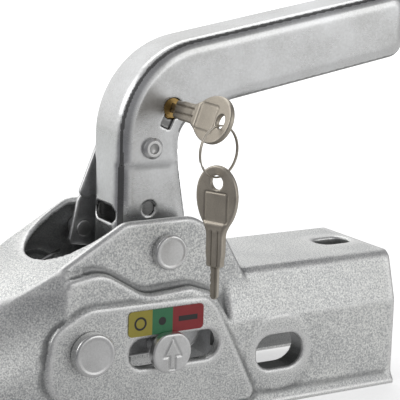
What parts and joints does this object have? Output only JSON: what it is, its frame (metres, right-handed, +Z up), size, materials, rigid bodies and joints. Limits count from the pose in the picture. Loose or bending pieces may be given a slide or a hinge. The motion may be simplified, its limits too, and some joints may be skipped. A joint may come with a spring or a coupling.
{
  "type": "trailer coupler lock",
  "caption": "Trailer ball coupler with a lifting handle, a key lock in the handle, a clamping jaw and a wear indicator.",
  "frame": {"origin": "centre of the towing ball in its seat", "axes": "+X rearwards along the drawbar, +Y to the coupler's right-hand side, +Z up"},
  "size_m": [0.268, 0.108, 0.1937],
  "materials": {
    "galvanised_shell": "matte galvanised",
    "zinc_handle": "bright zinc plate",
    "zinc_pins": "bright zinc plate",
    "inner_steel": "zinc plate",
    "seat_iron": "cast, greased",
    "spring_steel": "oiled spring wire",
    "lock_brass": "satin",
    "key_nickel": "nickel plate, worn",
    "label_film": "printed film"
  },
  "bodies": {
    "coupler": {"housing": "galvanised_shell", "ball_cup": "seat_iron", "jaw_pin": "zinc_pins", "jaw_spacers": "inner_steel", "jaw_spring": "spring_steel", "handle_pin": "zinc_pins", "handle_spacers": "inner_steel", "spring_bracket": "inner_steel", "main_spring": "spring_steel", "wear_label": "label_film", "keeper": "inner_steel", "keeper_rivets": "zinc_pins"},
    "handle_unit": {"handle": "zinc_handle", "drive_pin": "inner_steel", "latch_rivet": "zinc_pins", "lock_sleeve": "inner_steel", "lock_barrel": "lock_brass"},
    "jaw": {"clamp_jaw": "seat_iron"},
    "slide_unit": {"slide": "inner_steel", "slide_rod": "inner_steel", "indicator": "zinc_pins"},
    "catch": {"safety_catch": "zinc_handle", "catch_spring": "spring_steel"},
    "lock": {"lock_plug": "lock_brass", "lock_wafers": "lock_brass", "lock_bolt": "inner_steel", "lock_clip": "spring_steel"},
    "key": {"key_inserted": "key_nickel"},
    "ring": {"key_ring": "key_nickel"},
    "spare_key": {"key_spare": "key_nickel"}
  },
  "joints": [
    {"name": "handle_lift", "type": "hinge", "parent": "coupler", "child": "handle_unit", "pos_m": [0.0873, 0, 0.0544], "axis": [0, -1, 0], "range_deg": [0, 50]},
    {"name": "jaw_open", "type": "hinge", "parent": "coupler", "child": "jaw", "pos_m": [0.045, 0, 0.0135], "axis": [0, -1, 0], "range_deg": [0, 17.1]},
    {"name": "slide_travel", "type": "slide", "parent": "coupler", "child": "slide_unit", "axis": [1, 0, 0], "range_m": [0, 0.0181], "deforming": ["main_spring"]},
    {"name": "catch_swing", "type": "hinge", "parent": "handle_unit", "child": "catch", "pos_m": [0.0867, 0, 0.0994], "axis": [0, -1, 0], "range_deg": [0, 13], "stiffness_Nm_per_rad": 0.3},
    {"name": "lock_turn", "type": "hinge", "parent": "handle_unit", "child": "lock", "pos_m": [0.0977, 0, 0.1173], "axis": [0, 1, 0], "range_deg": [0, 90]},
    {"name": "key_withdraw", "type": "slide", "parent": "lock", "child": "key", "axis": [0, -1, 0], "range_m": [0, 0.018]},
    {"name": "ring_swing", "type": "hinge", "parent": "key", "child": "ring", "pos_m": [0.0966, -0.0569, 0.1157], "axis": [1, 0, 0], "range_deg": [-40, 5]},
    {"name": "spare_swing", "type": "hinge", "parent": "ring", "child": "spare_key", "pos_m": [0.0966, -0.0569, 0.0927], "axis": [0.9744, 0.225, 0], "range_deg": [-45, 10]}
  ],
  "couplings": [
    {"joint": "jaw_open", "follows": "handle_lift", "ratio": 0.34},
    {"joint": "slide_travel", "follows": "handle_lift", "m_per_rad": 0.0206}
  ]
}
